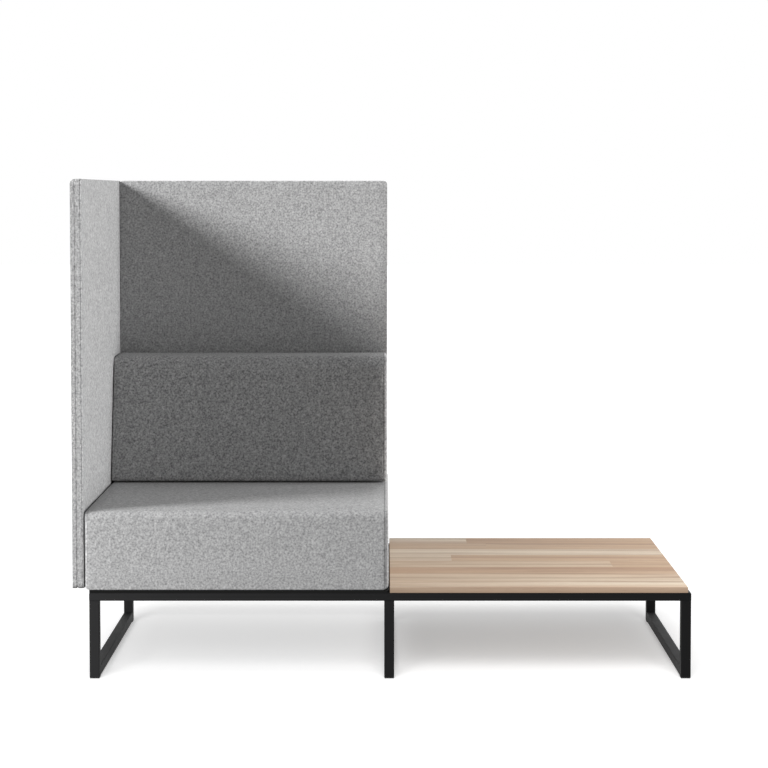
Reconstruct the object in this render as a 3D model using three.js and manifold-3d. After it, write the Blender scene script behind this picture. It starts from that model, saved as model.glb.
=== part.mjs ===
// A high back lounge seat with acoustic panels and a low table on one shared steel frame.
// Millimetres. X runs along the unit from the middle of its frame, Y back from the frame's
// front face and Z up from the floor. The finished unit is moved to its bottom centre.
import * as THREE from "three";
import { mergeVertices } from "three/addons/utils/BufferGeometryUtils.js";
import Module from "manifold-3d";

// Fits
const fitClearance = 0.3;
const boreClearance = 0.3;
const cutOverrun = 5;
const leastRadius = 0.3;
const weldDistance = 0.001;

// Frame
const moduleWidth = 750;
const frameDepth = 750;
const railUnderside = 195;
const railHeight = 20;
const tubeSize = 25;
const tubeWall = 2;
const tubeCorner = 2;
const rearLegInset = 35;

// Feet
const footFlange = 3;
const footFlangeInset = 0.7;
const footPlugLength = 24;
const levellerHeadRadius = 7.5;
const levellerHeadHeight = 2.4;
const levellerStudRadius = 4;
const levellerStudLength = 20;

// Seat
const baseBoardThickness = 6.5;
const baseBoardCorner = 3;
const seatHeight = 420;
const seatCrown = 2;
const seatEdgeRound = 11;
const seatFrontRound = 18;
const coverThickness = 1.5;
const wrapFoam = 5;
const seatFoamThickness = 68;
const boxBoardThickness = 18;
const deckThickness = 12;

// Back cushion
const cushionDepthAtFoot = 229;
const cushionDepthAtTop = 147;
const cushionHeight = 340;
const cushionCrown = 5;
const cushionTopRound = 40;
const cushionEdgeRound = 10;
const cushionBoardThickness = 9;
const cushionBoardMargin = 30;
const tapeThickness = 3;
const tapeWidth = 40;
const tapeLength = 240;
const tapeInsetShare = 0.22;
const zipLength = 560;
const zipWidth = 8;
const zipInset = 22;

// Panels
const panelTop = 1245;
const panelBottom = 225;
const panelOverhang = 13;
const panelOuterLayer = 10.8;
const panelCoreLayer = 13.9;
const panelInnerLayer = 3.8;
const panelCornerRound = 12;
const panelOuterRound = 10;
const panelInnerRound = 3;
const panelCoverThickness = 1.2;
const panelEdgeSpace = 2;
const backPanelEndInset = 3;
const softGap = 0.6;

// Seams
const seamWidth = 1.6;
const seamDepth = 0.9;

// Table
const tableThickness = 14.8;
const tableEndInset = 8;
const tableCorner = 1.5;
const tableSeatGap = 3;
const tablePastMiddle = 1;

// Fasteners
const screwRadius = 3;
const screwHeadRadius = 5.5;
const screwHeadHeight = 3.5;
const screwAccessRadius = 7;
const tableScrewDepth = 10;
const seatScrewDepth = 14;
const screwInsetShare = 0.2;
const boltRadius = 3;
const boltHeadRadius = 6.5;
const boltHeadHeight = 3.5;
const boltDepthInCore = 10;
const boltInsetShare = 0.22;
const dowelRadius = 4;
const dowelDepth = 24;
const dowelHeightShares = [0.35, 0.88];

// Counts
const arcSteps = 3;
const crownSteps = 5;
const roundSegments = 14;
const cornerSegments = 2;

// Worked out from the sizes above
const frameHalf = moduleWidth;
const railTop = railUnderside + railHeight;
const rearLegBack = frameDepth - rearLegInset;
const baseBoardTop = railTop + baseBoardThickness;
const panelThickness = panelOuterLayer + panelCoreLayer + panelInnerLayer;
const sidePanelInner = -frameHalf - panelOverhang;
const sidePanelOuter = sidePanelInner - panelThickness;
const tableLeft = -tablePastMiddle;
const seatRight = tableLeft - tableSeatGap;
const middleLegLine = (tableLeft + seatRight) / 2;
const seatLeft = sidePanelInner + softGap;
const seatWidth = seatRight - seatLeft;
const seatDepth = frameDepth - fitClearance;
const backPanelFront = frameDepth;
const backPanelBack = backPanelFront + panelThickness;
const backPanelLeft = sidePanelInner + softGap;
const backPanelRight = seatRight - backPanelEndInset;
const panelHeight = panelTop - panelBottom;
const cushionBottom = seatHeight + fitClearance;
const cushionBack = backPanelFront - tapeThickness;
const skinInset = coverThickness + fitClearance;
const boxInset = skinInset + wrapFoam;
const deckTop = seatHeight - seatCrown - skinInset - seatFoamThickness;
const boxTop = deckTop - deckThickness;
const panelSkinInset = panelCoverThickness + fitClearance;

const wasm = await Module();
wasm.setup();

// A closed three.js geometry as a solid that can be cut and joined.
function toSolid(geometry) {
  const bare = geometry.index ? geometry.toNonIndexed() : geometry.clone();
  bare.deleteAttribute("normal");
  bare.deleteAttribute("uv");
  const merged = mergeVertices(bare, weldDistance);
  const vertProperties = merged.attributes.position.array;
  const triVerts = new Uint32Array(merged.index.array);
  return new wasm.Manifold(new wasm.Mesh({ numProp: 3, vertProperties, triVerts }));
}

function toGeometry(solid) {
  const mesh = solid.getMesh();
  const geometry = new THREE.BufferGeometry();
  geometry.setAttribute("position", new THREE.BufferAttribute(mesh.vertProperties, 3));
  geometry.setIndex(new THREE.BufferAttribute(mesh.triVerts, 1));
  return geometry;
}

// The geometry less every cutter.
function cut(geometry, cutters) {
  let solid = toSolid(geometry);
  for (const cutter of cutters) {
    solid = solid.subtract(toSolid(cutter));
  }
  return toGeometry(solid);
}

function join(first, second) {
  return toGeometry(toSolid(first).add(toSolid(second)));
}

function common(first, second) {
  return toGeometry(toSolid(first).intersect(toSolid(second)));
}

// A box between two corners.
function boxBetween(low, high) {
  const size = high.map((value, axis) => value - low[axis]);
  const middle = high.map((value, axis) => (value + low[axis]) / 2);
  return new THREE.BoxGeometry(...size).translate(...middle);
}

// A round bar from one point, along X, Y or Z.
function barAlong(axis, from, length, radius) {
  const bar = new THREE.CylinderGeometry(radius, radius, Math.abs(length), roundSegments);
  bar.translate(0, Math.abs(length) / 2, 0);
  bar.applyQuaternion(turnFromY(axis, Math.sign(length)));
  return bar.translate(...from);
}

// The turn that takes +Y to one end of an axis.
function turnFromY(axis, sign) {
  const goal = new THREE.Vector3();
  goal[axis] = sign;
  return new THREE.Quaternion().setFromUnitVectors(new THREE.Vector3(0, 1, 0), goal);
}

// A rectangle with round corners, about the middle.
function roundedRectangle(width, height, radius) {
  const x = width / 2 - radius;
  const y = height / 2 - radius;
  const shape = new THREE.Shape();
  [[x, -y], [x, y], [-x, y], [-x, -y]].forEach(([centreX, centreY], quarter) => {
    const start = (Math.PI / 2) * (quarter - 1);
    shape.absarc(centreX, centreY, radius, start, start + Math.PI / 2);
  });
  return shape;
}

// A rectangle with round corners pushed up along Z from zero.
function roundedBoard(width, height, radius, depth) {
  const outline = roundedRectangle(width, height, radius);
  const settings = { depth, bevelEnabled: false, curveSegments: cornerSegments };
  return new THREE.ExtrudeGeometry(outline, settings);
}

// A rectangular tube along Z from zero, open at both ends.
function tube(width, height, length) {
  const x = width / 2 - tubeWall;
  const y = height / 2 - tubeWall;
  const bore = boxBetween([-x, -y, -cutOverrun], [x, y, length + cutOverrun]);
  return cut(roundedBoard(width, height, tubeCorner, length), [bore]);
}

// A tube along Z from zero, with a mitre on each end. sign says which side in Y is the long one.
function mitredTube(width, height, length, sign) {
  const geometry = tube(height, width, length);
  const position = geometry.attributes.position;
  for (let i = 0; i < position.count; i += 1) {
    const across = width / 2 - sign * position.getY(i);
    const atStart = position.getZ(i) < length / 2;
    position.setZ(i, atStart ? across : length - across);
  }
  return geometry;
}

// Padded solids

// Corners of a convex outline, each edge moved inwards by the same distance.
function insetCorners(corners, distance) {
  const count = corners.length;
  return corners.map((corner, i) => {
    const before = edgeLine(corners[(i + count - 1) % count], corner, distance);
    const after = edgeLine(corner, corners[(i + 1) % count], distance);
    const cross = before.u * after.v - before.v * after.u;
    const along = ((after.x - before.x) * after.v - (after.y - before.y) * after.u) / cross;
    return { ...corner, x: before.x + before.u * along, y: before.y + before.v * along };
  });
}

function edgeLine(from, to, distance) {
  const length = Math.hypot(to.x - from.x, to.y - from.y);
  const u = (to.x - from.x) / length;
  const v = (to.y - from.y) / length;
  return { x: from.x - v * distance, y: from.y + u * distance, u, v };
}

// One loop of points round the outline, with rounded corners and crowned edges.
function outlineLoop(corners, distance, crownShare) {
  const moved = insetCorners(corners, distance);
  const count = moved.length;
  const arcs = moved.map((corner, i) => {
    const before = edgeLine(moved[(i + count - 1) % count], corner, 0);
    const after = edgeLine(corner, moved[(i + 1) % count], 0);
    const turn = Math.acos(before.u * after.u + before.v * after.v);
    const radius = Math.max(corner.round - distance, leastRadius);
    const reach = radius * Math.tan(turn / 2);
    const centreX = corner.x - before.u * reach - before.v * radius;
    const centreY = corner.y - before.v * reach + before.u * radius;
    const start = Math.atan2(-before.u, before.v);
    const points = [];
    for (let step = 0; step <= arcSteps; step += 1) {
      const angle = start + (turn * step) / arcSteps;
      points.push([centreX + radius * Math.cos(angle), centreY + radius * Math.sin(angle)]);
    }
    return points;
  });
  return arcs.flatMap((points, i) => {
    const end = points[arcSteps];
    const next = arcs[(i + 1) % count][0];
    return [...points, ...crownedEdge(end, next, moved[i].crown || 0, crownShare)];
  });
}

// The points between two corners, pushed outwards by the crown.
function crownedEdge(from, to, crown, crownShare) {
  if (!crown) {
    return [];
  }
  const length = Math.hypot(to[0] - from[0], to[1] - from[1]);
  const normal = [(to[1] - from[1]) / length, (from[0] - to[0]) / length];
  const points = [];
  for (let step = 1; step < crownSteps; step += 1) {
    const share = step / crownSteps;
    const push = crown * crownShare * 4 * share * (1 - share);
    points.push([0, 1].map((k) => from[k] + (to[k] - from[k]) * share + normal[k] * push));
  }
  return points;
}

// The places along a padded solid where a loop is drawn, each with how far it is drawn in.
function loopStations({ length, startRound, endRound, seams, crowned }, inset) {
  const start = Math.max(startRound - inset, leastRadius);
  const end = Math.max(endRound - inset, leastRadius);
  const stations = [];
  for (let step = 0; step <= arcSteps; step += 1) {
    const angle = (Math.PI / 2) * (step / arcSteps);
    const drawn = 1 - Math.sin(angle);
    const along = 1 - Math.cos(angle);
    stations.push({ at: inset + start * along, drawn: start * drawn });
    stations.push({ at: length - inset - end * along, drawn: end * drawn });
  }
  for (const seam of inset ? [] : seams) {
    stations.push({ at: seam - seamWidth / 2, drawn: 0 });
    stations.push({ at: seam, drawn: seamDepth });
    stations.push({ at: seam + seamWidth / 2, drawn: 0 });
  }
  for (let step = 1; crowned && step < crownSteps; step += 1) {
    const share = step / crownSteps;
    stations.push({ at: startRound + (length - startRound - endRound) * share, drawn: 0 });
  }
  stations.sort((a, b) => a.at - b.at);
  return stations.filter((one, i) => !i || one.at - stations[i - 1].at > weldDistance);
}

// A padded solid along X: its outline lies in Y and Z, both ends are rounded, and seams run round it.
// An inset gives the same solid with its skin taken off.
function padded(form, inset = 0) {
  const { corners, length, startRound, endRound } = form;
  const crownedLength = length - startRound - endRound;
  const loops = loopStations(form, inset).map(({ at, drawn }) => {
    const share = THREE.MathUtils.clamp((at - startRound) / crownedLength, 0, 1);
    const crownShare = 4 * share * (1 - share);
    const loop = outlineLoop(corners, inset + drawn, crownShare);
    return loop.map(([y, z]) => [at, y, z]);
  });
  return skinOver(loops);
}

// One closed body over a row of loops, with a fan on each end.
function skinOver(loops) {
  const around = loops[0].length;
  const points = loops.flat(2);
  const faces = [];
  for (let row = 0; row + 1 < loops.length; row += 1) {
    for (let i = 0; i < around; i += 1) {
      const a = row * around + i;
      const b = row * around + ((i + 1) % around);
      faces.push(a, b, a + around, b, b + around, a + around);
    }
  }
  for (const row of [0, loops.length - 1]) {
    const hub = points.length / 3;
    points.push(...middleOf(loops[row]));
    for (let i = 0; i < around; i += 1) {
      const a = row * around + i;
      const b = row * around + ((i + 1) % around);
      faces.push(...(row ? [hub, a, b] : [hub, b, a]));
    }
  }
  const geometry = new THREE.BufferGeometry();
  geometry.setAttribute("position", new THREE.Float32BufferAttribute(points, 3));
  geometry.setIndex(faces);
  return geometry;
}

function middleOf(loop) {
  const sums = loop.reduce((sum, point) => sum.map((value, k) => value + point[k]), [0, 0, 0]);
  return sums.map((value) => value / loop.length);
}

// A rectangle's corners in Y and Z, counterclockwise, all with one radius.
function rectangleCorners(y, z, depth, height, round) {
  return [
    { x: y, y: z, round },
    { x: y + depth, y: z, round },
    { x: y + depth, y: z + height, round },
    { x: y, y: z + height, round },
  ];
}

// Materials

function material(color, roughness, metalness = 0) {
  return new THREE.MeshStandardMaterial({ color, roughness, metalness });
}

const felt = () => material(0xa9a9a9, 0.95);
const blackSteel = () => material(0x1b1b1b, 0.5, 0.4);
const blackBoard = () => material(0x121212, 0.7);
const ash = () => material(0xbda691, 0.6);
const plywood = () => material(0xc8a878, 0.8);
const foam = () => material(0xe6e0cc, 0.95);
const nylon = () => material(0x161616, 0.6);
const zinc = () => material(0xb8bbbe, 0.35, 0.9);
const tape = () => material(0x303030, 0.95);

const unit = new THREE.Group();

function add(name, geometry, finish, at = [0, 0, 0]) {
  geometry.computeVertexNormals();
  const mesh = new THREE.Mesh(geometry, finish);
  mesh.name = name;
  mesh.position.set(...at);
  unit.add(mesh);
  return mesh;
}

// Fasteners and the holes that they need

// A screw along an axis: a head with its flat at the seat, and a shank that runs on from it.
function fastener(axis, sign, seat, length, radius, headRadius, headHeight) {
  const profile = [
    [0, -headHeight],
    [headRadius, -headHeight],
    [headRadius, 0],
    [radius, 0],
    [radius, length],
    [0, length],
  ];
  const points = profile.map(([x, y]) => new THREE.Vector2(x, y));
  const geometry = new THREE.LatheGeometry(points, roundSegments);
  geometry.applyQuaternion(turnFromY(axis, sign));
  return geometry.translate(...seat);
}

// The hole for a shank, from just behind its head to just past its tip.
function shankHole(axis, sign, seat, length, radius) {
  const from = [...seat];
  from["xyz".indexOf(axis)] -= sign * cutOverrun;
  const reach = sign * (cutOverrun + length + boreClearance);
  return barAlong(axis, from, reach, radius + boreClearance);
}

const boxFront = boxInset;
const boxBack = seatDepth - boxInset;
const boxLeft = seatLeft + boxInset;
const boxRight = seatRight - boxInset;
const boxBottom = baseBoardTop + skinInset;
const frontBoardLine = boxFront + boxBoardThickness / 2;
const rearBoardLine = boxBack - boxBoardThickness / 2;
const screwSeat = railTop - tubeWall;

// The screws of one module: two through the front rail and two through the rear rail.
function moduleScrews(left, right, frontLine, rearLine, tip) {
  const inset = (right - left) * screwInsetShare;
  const columns = [left + inset, right - inset];
  return [frontLine, rearLine].flatMap((y) => columns.map((x) => ({ x, y, length: tip - screwSeat })));
}

const seatScrews = moduleScrews(
  boxLeft,
  boxRight,
  frontBoardLine,
  rearBoardLine,
  boxBottom + seatScrewDepth,
);
const tableScrews = moduleScrews(
  tableLeft,
  frameHalf - tableEndInset,
  tubeSize / 2,
  frameDepth - tubeSize / 2,
  railTop + tableScrewDepth,
);

const screwHole = ({ x, y, length }) =>
  shankHole("z", 1, [x, y, screwSeat], length, screwRadius);
const accessHole = ({ x, y }) =>
  barAlong("z", [x, y, railUnderside - cutOverrun], cutOverrun + railHeight / 2, screwAccessRadius);

function addScrews(prefix, screws) {
  screws.forEach(({ x, y, length }, i) => {
    const seat = [x, y, screwSeat];
    const shape = fastener("z", 1, seat, length, screwRadius, screwHeadRadius, screwHeadHeight);
    add(`${prefix}_${i + 1}`, shape, zinc());
  });
}

// Bolts from inside the seat box into the cores of the panels.
const boltHeight = (boxBottom + boxTop) / 2;
const sideCoreFace = sidePanelInner - panelInnerLayer;
const backCoreFace = backPanelFront + panelInnerLayer;
const sideBoltSeat = boxLeft + boxBoardThickness;
const backBoltSeat = boxBack - boxBoardThickness;

const sideBolts = [boltInsetShare, 1 - boltInsetShare].map((share) => ({
  axis: "x",
  sign: -1,
  seat: [sideBoltSeat, frameDepth * share, boltHeight],
  length: sideBoltSeat - sideCoreFace + boltDepthInCore,
}));
const backBolts = [boltInsetShare, 1 - boltInsetShare].map((share) => ({
  axis: "y",
  sign: 1,
  seat: [seatLeft + seatWidth * share, backBoltSeat, boltHeight],
  length: backCoreFace - backBoltSeat + boltDepthInCore,
}));

const boltHole = ({ axis, sign, seat, length }) => shankHole(axis, sign, seat, length, boltRadius);

function addBolts(prefix, bolts) {
  bolts.forEach(({ axis, sign, seat, length }, i) => {
    const shape = fastener(axis, sign, seat, length, boltRadius, boltHeadRadius, boltHeadHeight);
    add(`${prefix}_${i + 1}`, shape, zinc());
  });
}

// Dowels from the side panel's core into the end of the back panel's core.
const dowelStart = backPanelLeft + panelSkinInset - panelInnerLayer - dowelDepth / 2;
const dowels = dowelHeightShares.map((share) => ({
  from: [dowelStart, backCoreFace + panelCoreLayer / 2, panelBottom + panelHeight * share],
  length: dowelDepth + panelInnerLayer,
}));

const dowelHole = ({ from, length }) => {
  const start = [from[0] - boreClearance, from[1], from[2]];
  return barAlong("x", start, length + 2 * boreClearance, dowelRadius + boreClearance);
};

// Frame

function addRails() {
  const length = 2 * frameHalf;
  const frontScrews = [...seatScrews, ...tableScrews].filter(({ y }) => y < frameDepth / 2);
  const rearScrews = [...seatScrews, ...tableScrews].filter(({ y }) => y > frameDepth / 2);
  const middleHeight = railUnderside + railHeight / 2;
  for (const [name, y, sign, screws] of [
    ["front_rail", tubeSize / 2, -1, frontScrews],
    ["rear_rail", frameDepth - tubeSize / 2, 1, rearScrews],
  ]) {
    const rail = mitredTube(tubeSize, railHeight, length, sign);
    rail.rotateY(Math.PI / 2);
    rail.translate(-frameHalf, y, middleHeight);
    const holes = screws.flatMap((screw) => [screwHole(screw), accessHole(screw)]);
    add(name, cut(rail, holes), blackSteel());
  }
  for (const [name, x, sign] of [
    ["left_side_rail", -frameHalf + tubeSize / 2, 1],
    ["right_side_rail", frameHalf - tubeSize / 2, -1],
  ]) {
    const rail = mitredTube(tubeSize, railHeight, frameDepth - 2 * fitClearance, sign);
    rail.rotateY(Math.PI / 2);
    rail.rotateZ(Math.PI / 2);
    add(name, rail, blackSteel(), [x, fitClearance, middleHeight]);
  }
  const crossRail = tube(tubeSize, railHeight, frameDepth - 2 * tubeSize);
  crossRail.rotateX(-Math.PI / 2);
  add("middle_cross_rail", crossRail, blackSteel(), [middleLegLine, tubeSize, middleHeight]);
}

const legColumns = {
  left: -frameHalf + tubeSize / 2,
  middle: middleLegLine,
  right: frameHalf - tubeSize / 2,
};
const legRows = { front: tubeSize / 2, rear: rearLegBack - tubeSize / 2 };

function addLegLoop(side, x) {
  for (const [row, y] of Object.entries(legRows)) {
    const leg = tube(tubeSize, tubeSize, railUnderside - footFlange);
    add(`${side}_${row}_leg`, leg, blackSteel(), [x, y, footFlange]);
    add(`${side}_${row}_foot_insert`, footInsert(), nylon(), [x, y, 0]);
    add(`${side}_${row}_leveller`, leveller(), zinc(), [x, y, 0]);
  }
  const skid = tube(tubeSize, tubeSize, legRows.rear - legRows.front - tubeSize);
  skid.rotateX(-Math.PI / 2);
  add(`${side}_skid`, skid, blackSteel(), [x, tubeSize, footFlange + tubeSize / 2]);
}

// A plug in the tube with a flange that stands on the floor, bored for the levelling screw.
function footInsert() {
  const flangeSize = tubeSize - 2 * footFlangeInset;
  const plugSize = tubeSize - 2 * tubeWall - 2 * fitClearance;
  const flange = boxBetween(
    [-flangeSize / 2, -flangeSize / 2, 0],
    [flangeSize / 2, flangeSize / 2, footFlange],
  );
  const plug = boxBetween(
    [-plugSize / 2, -plugSize / 2, footFlange],
    [plugSize / 2, plugSize / 2, footFlange + footPlugLength],
  );
  const bore = barAlong(
    "z",
    [0, 0, -cutOverrun],
    footFlange + footPlugLength + 2 * cutOverrun,
    levellerStudRadius + boreClearance,
  );
  const recess = barAlong(
    "z",
    [0, 0, -cutOverrun],
    cutOverrun + footFlange,
    levellerHeadRadius + boreClearance,
  );
  return cut(join(flange, plug), [bore, recess]);
}

// A levelling screw, fully screwed in, with its pad just inside the flange.
function leveller() {
  const seat = [0, 0, footFlange - fitClearance];
  return fastener(
    "z",
    1,
    seat,
    levellerStudLength,
    levellerStudRadius,
    levellerHeadRadius,
    levellerHeadHeight,
  );
}

// Seat

const seatForm = {
  corners: [
    { x: 0, y: baseBoardTop, round: seatEdgeRound },
    { x: seatDepth, y: baseBoardTop, round: seatEdgeRound },
    { x: seatDepth, y: seatHeight - seatCrown, round: seatEdgeRound, crown: seatCrown },
    { x: 0, y: seatHeight - seatCrown, round: seatFrontRound },
  ],
  length: seatWidth,
  startRound: seatEdgeRound,
  endRound: seatEdgeRound,
  seams: [seatEdgeRound + seamWidth / 2, seatWidth - seatEdgeRound - seamWidth / 2],
  crowned: true,
};

function seatShape(inset = 0) {
  return padded(seatForm, inset).translate(seatLeft, 0, 0);
}

function addSeat() {
  const boxLow = [boxLeft, boxFront, boxBottom];
  const boxHigh = [boxRight, boxBack, boxTop];
  const wellLow = [boxLeft + boxBoardThickness, boxFront + boxBoardThickness, boxBottom - cutOverrun];
  const wellHigh = [boxRight - boxBoardThickness, boxBack - boxBoardThickness, boxTop + cutOverrun];
  const well = boxBetween(wellLow, wellHigh);
  const screwHoles = seatScrews.map(screwHole);
  const boltHoles = [...sideBolts, ...backBolts].map(boltHole);
  const box = cut(common(boxBetween(boxLow, boxHigh), seatShape(skinInset)), [well]);
  add("seat_box_frame", cut(box, [...screwHoles, ...boltHoles]), plywood());
  const deckLow = [boxLeft, boxFront, boxTop];
  add("seat_deck", boxBetween(deckLow, [boxRight, boxBack, deckTop]), plywood());
  const boxSpace = boxBetween(
    [boxLeft - fitClearance, boxFront - fitClearance, baseBoardTop - cutOverrun],
    [boxRight + fitClearance, boxBack + fitClearance, deckTop + fitClearance],
  );
  add("seat_foam", cut(seatShape(skinInset), [boxSpace, ...boltHoles]), foam());
  const opening = boxBetween(
    [wellLow[0], wellLow[1], baseBoardTop - cutOverrun],
    [wellHigh[0], wellHigh[1], boxBottom],
  );
  const hollow = seatShape(coverThickness);
  add("seat_cover", cut(seatShape(), [hollow, opening, ...screwHoles, ...boltHoles]), felt());
  addScrews("seat_screw", seatScrews);
}

function addBaseBoard() {
  const width = seatRight + frameHalf;
  const board = roundedBoard(width, frameDepth, baseBoardCorner, baseBoardThickness);
  board.translate(seatRight - width / 2, frameDepth / 2, railTop);
  add("seat_base_board", cut(board, seatScrews.map(screwHole)), blackBoard());
}

// Back cushion

const cushionForm = {
  corners: [
    { x: cushionBack - cushionDepthAtFoot, y: cushionBottom, round: cushionEdgeRound },
    { x: cushionBack, y: cushionBottom, round: cushionEdgeRound },
    { x: cushionBack, y: cushionBottom + cushionHeight, round: cushionEdgeRound },
    {
      x: cushionBack - cushionDepthAtTop,
      y: cushionBottom + cushionHeight,
      round: cushionTopRound,
      crown: cushionCrown,
    },
  ],
  length: backPanelRight - seatLeft,
  startRound: cushionEdgeRound,
  endRound: cushionEdgeRound,
  seams: [],
  crowned: true,
};

function cushionShape(inset = 0) {
  return padded(cushionForm, inset).translate(seatLeft, 0, 0);
}

function addBackCushion() {
  const left = seatLeft + cushionBoardMargin;
  const right = backPanelRight - cushionBoardMargin;
  const back = cushionBack - skinInset;
  const front = back - cushionBoardThickness;
  const low = cushionBottom + cushionBoardMargin;
  const high = cushionBottom + cushionHeight - cushionBoardMargin;
  add("back_cushion_board", boxBetween([left, front, low], [right, back, high]), plywood());
  const boardSpace = boxBetween(
    [left - fitClearance, front - fitClearance, low - fitClearance],
    [right + fitClearance, back + cutOverrun, high + fitClearance],
  );
  add("back_cushion_foam", cut(cushionShape(skinInset), [boardSpace]), foam());
  const middle = (seatLeft + backPanelRight) / 2;
  const zipLine = cushionBack - zipInset;
  const zipBox = (spare, bottom, top) =>
    boxBetween(
      [middle - zipLength / 2 - spare, zipLine - zipWidth / 2 - spare, bottom],
      [middle + zipLength / 2 + spare, zipLine + zipWidth / 2 + spare, top],
    );
  const slot = zipBox(fitClearance, cushionBottom - cutOverrun, cushionBottom + skinInset);
  add("back_cushion_cover", cut(cushionShape(), [cushionShape(coverThickness), slot]), felt());
  add("back_cushion_zip", zipBox(0, cushionBottom, cushionBottom + coverThickness), tape());
  const tapeLow = cushionBottom + (cushionHeight - tapeLength) / 2;
  for (const [side, share] of Object.entries({ left: tapeInsetShare, right: 1 - tapeInsetShare })) {
    const x = seatLeft + (backPanelRight - seatLeft) * share;
    const strip = boxBetween(
      [x - tapeWidth / 2, cushionBack, tapeLow],
      [x + tapeWidth / 2, backPanelFront, tapeLow + tapeLength],
    );
    add(`${side}_hook_tape`, strip, tape());
  }
}

// Panels

// A panel is drawn lying in Y and Z with its outer face at zero: outer pad, core, inner pad, cover.
// The edge space draws its outline in.
function panelForm(width, space = 0) {
  const outline = [space, space, width - 2 * space, panelHeight - 2 * space];
  return {
    corners: rectangleCorners(...outline, panelCornerRound),
    length: panelThickness,
    startRound: panelOuterRound,
    endRound: panelInnerRound,
    seams: [panelOuterLayer, panelOuterLayer + panelCoreLayer],
    crowned: false,
  };
}

// The layers of a panel, each cut from the space inside its cover. They stop short of its edge,
// where the seams are drawn in.
function panelLayers(width) {
  const form = panelForm(width);
  const inside = padded(panelForm(width, panelEdgeSpace), panelSkinInset);
  const coreEnd = panelOuterLayer + panelCoreLayer;
  const slab = (from, to) =>
    common(inside, boxBetween([from, -cutOverrun, -cutOverrun], [to, width + cutOverrun, panelHeight]));
  const opening = boxBetween(
    [panelOuterLayer, panelCornerRound, -cutOverrun],
    [coreEnd, width - panelCornerRound, panelSkinInset],
  );
  return {
    outerPad: slab(0, panelOuterLayer),
    core: slab(panelOuterLayer, coreEnd),
    innerPad: slab(coreEnd, panelThickness),
    cover: cut(padded(form), [padded(form, panelCoverThickness), opening]),
  };
}

function addSidePanel() {
  const layers = panelLayers(backPanelBack);
  const holes = [...sideBolts.map(boltHole), ...dowels.map(dowelHole)];
  const place = (geometry) => geometry.translate(sidePanelOuter, 0, panelBottom);
  add("side_panel_outer_pad", place(layers.outerPad), foam());
  add("side_panel_core", cut(place(layers.core), holes), plywood());
  add("side_panel_inner_pad", cut(place(layers.innerPad), holes), foam());
  add("side_panel_cover", cut(place(layers.cover), holes), felt());
}

// The back panel's outer face points back, so its layers are turned by a quarter about Z.
function addBackPanel() {
  const layers = panelLayers(backPanelRight - backPanelLeft);
  const holes = [...backBolts.map(boltHole), ...dowels.map(dowelHole)];
  const place = (geometry) => {
    geometry.rotateZ(-Math.PI / 2);
    return geometry.translate(backPanelLeft, backPanelBack, panelBottom);
  };
  add("back_panel_rear_pad", place(layers.outerPad), foam());
  add("back_panel_core", cut(place(layers.core), holes), plywood());
  add("back_panel_front_pad", cut(place(layers.innerPad), holes), foam());
  add("back_panel_cover", cut(place(layers.cover), holes), felt());
}

function addPanelFasteners() {
  addBolts("side_panel_bolt", sideBolts);
  addBolts("back_panel_bolt", backBolts);
  dowels.forEach(({ from, length }, i) => {
    add(`corner_dowel_${i + 1}`, barAlong("x", from, length, dowelRadius), ash());
  });
}

// Table

function addTable() {
  const right = frameHalf - tableEndInset;
  const width = right - tableLeft;
  const board = roundedBoard(width, frameDepth, tableCorner, tableThickness);
  board.translate(tableLeft + width / 2, frameDepth / 2, railTop);
  add("table_top", cut(board, tableScrews.map(screwHole)), ash());
  addScrews("table_screw", tableScrews);
}

addRails();
for (const [side, x] of Object.entries(legColumns)) {
  addLegLoop(side, x);
}
addBaseBoard();
addSeat();
addBackCushion();
addSidePanel();
addBackPanel();
addPanelFasteners();
addTable();

// The origin is the middle of the unit's box, on the floor.
const bounds = new THREE.Box3().setFromObject(unit, true);
const middle = bounds.getCenter(new THREE.Vector3());
unit.position.set(-middle.x, -middle.y, -bounds.min.z);

const loungeSeat = new THREE.Group();
loungeSeat.add(unit);

export default loungeSeat;
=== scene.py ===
import math

import bpy
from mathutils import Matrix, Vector


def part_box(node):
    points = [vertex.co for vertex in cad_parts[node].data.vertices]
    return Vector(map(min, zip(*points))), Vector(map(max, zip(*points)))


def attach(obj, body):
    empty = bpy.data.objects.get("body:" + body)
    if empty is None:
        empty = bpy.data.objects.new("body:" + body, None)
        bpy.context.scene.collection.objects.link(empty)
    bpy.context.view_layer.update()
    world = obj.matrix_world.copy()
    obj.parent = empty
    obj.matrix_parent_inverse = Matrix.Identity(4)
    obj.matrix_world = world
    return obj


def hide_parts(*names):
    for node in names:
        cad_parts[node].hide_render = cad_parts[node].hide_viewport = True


# The whole unit as it was built: a steel frame with a felt-covered seat on its left half and
# a low wooden table on its right half. Every place below is read from that build, in metres.
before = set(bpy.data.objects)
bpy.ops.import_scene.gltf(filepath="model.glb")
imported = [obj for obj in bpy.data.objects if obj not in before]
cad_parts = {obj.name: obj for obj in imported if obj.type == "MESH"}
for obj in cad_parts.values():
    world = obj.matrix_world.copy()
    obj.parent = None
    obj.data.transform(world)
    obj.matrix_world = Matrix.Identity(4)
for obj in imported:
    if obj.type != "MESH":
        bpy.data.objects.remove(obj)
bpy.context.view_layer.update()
scene = bpy.context.scene
scene.view_settings.view_transform = "Standard"

# The camera stands 5.2 m in front of the unit, at the height of the panels' tops. It looks
# slightly down and a lens shift takes the rest, so that upright edges stay nearly upright.
CAMERA_PLACE = (0.00919, -5.58647, 1.20716)
CAMERA_TILT = 0.04823
CAMERA_SHIFT = (-0.00204, -0.115)
FOCAL_LENGTH_SHARE = 2103.98 / 768
SENSOR_WIDTH = 36

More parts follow.
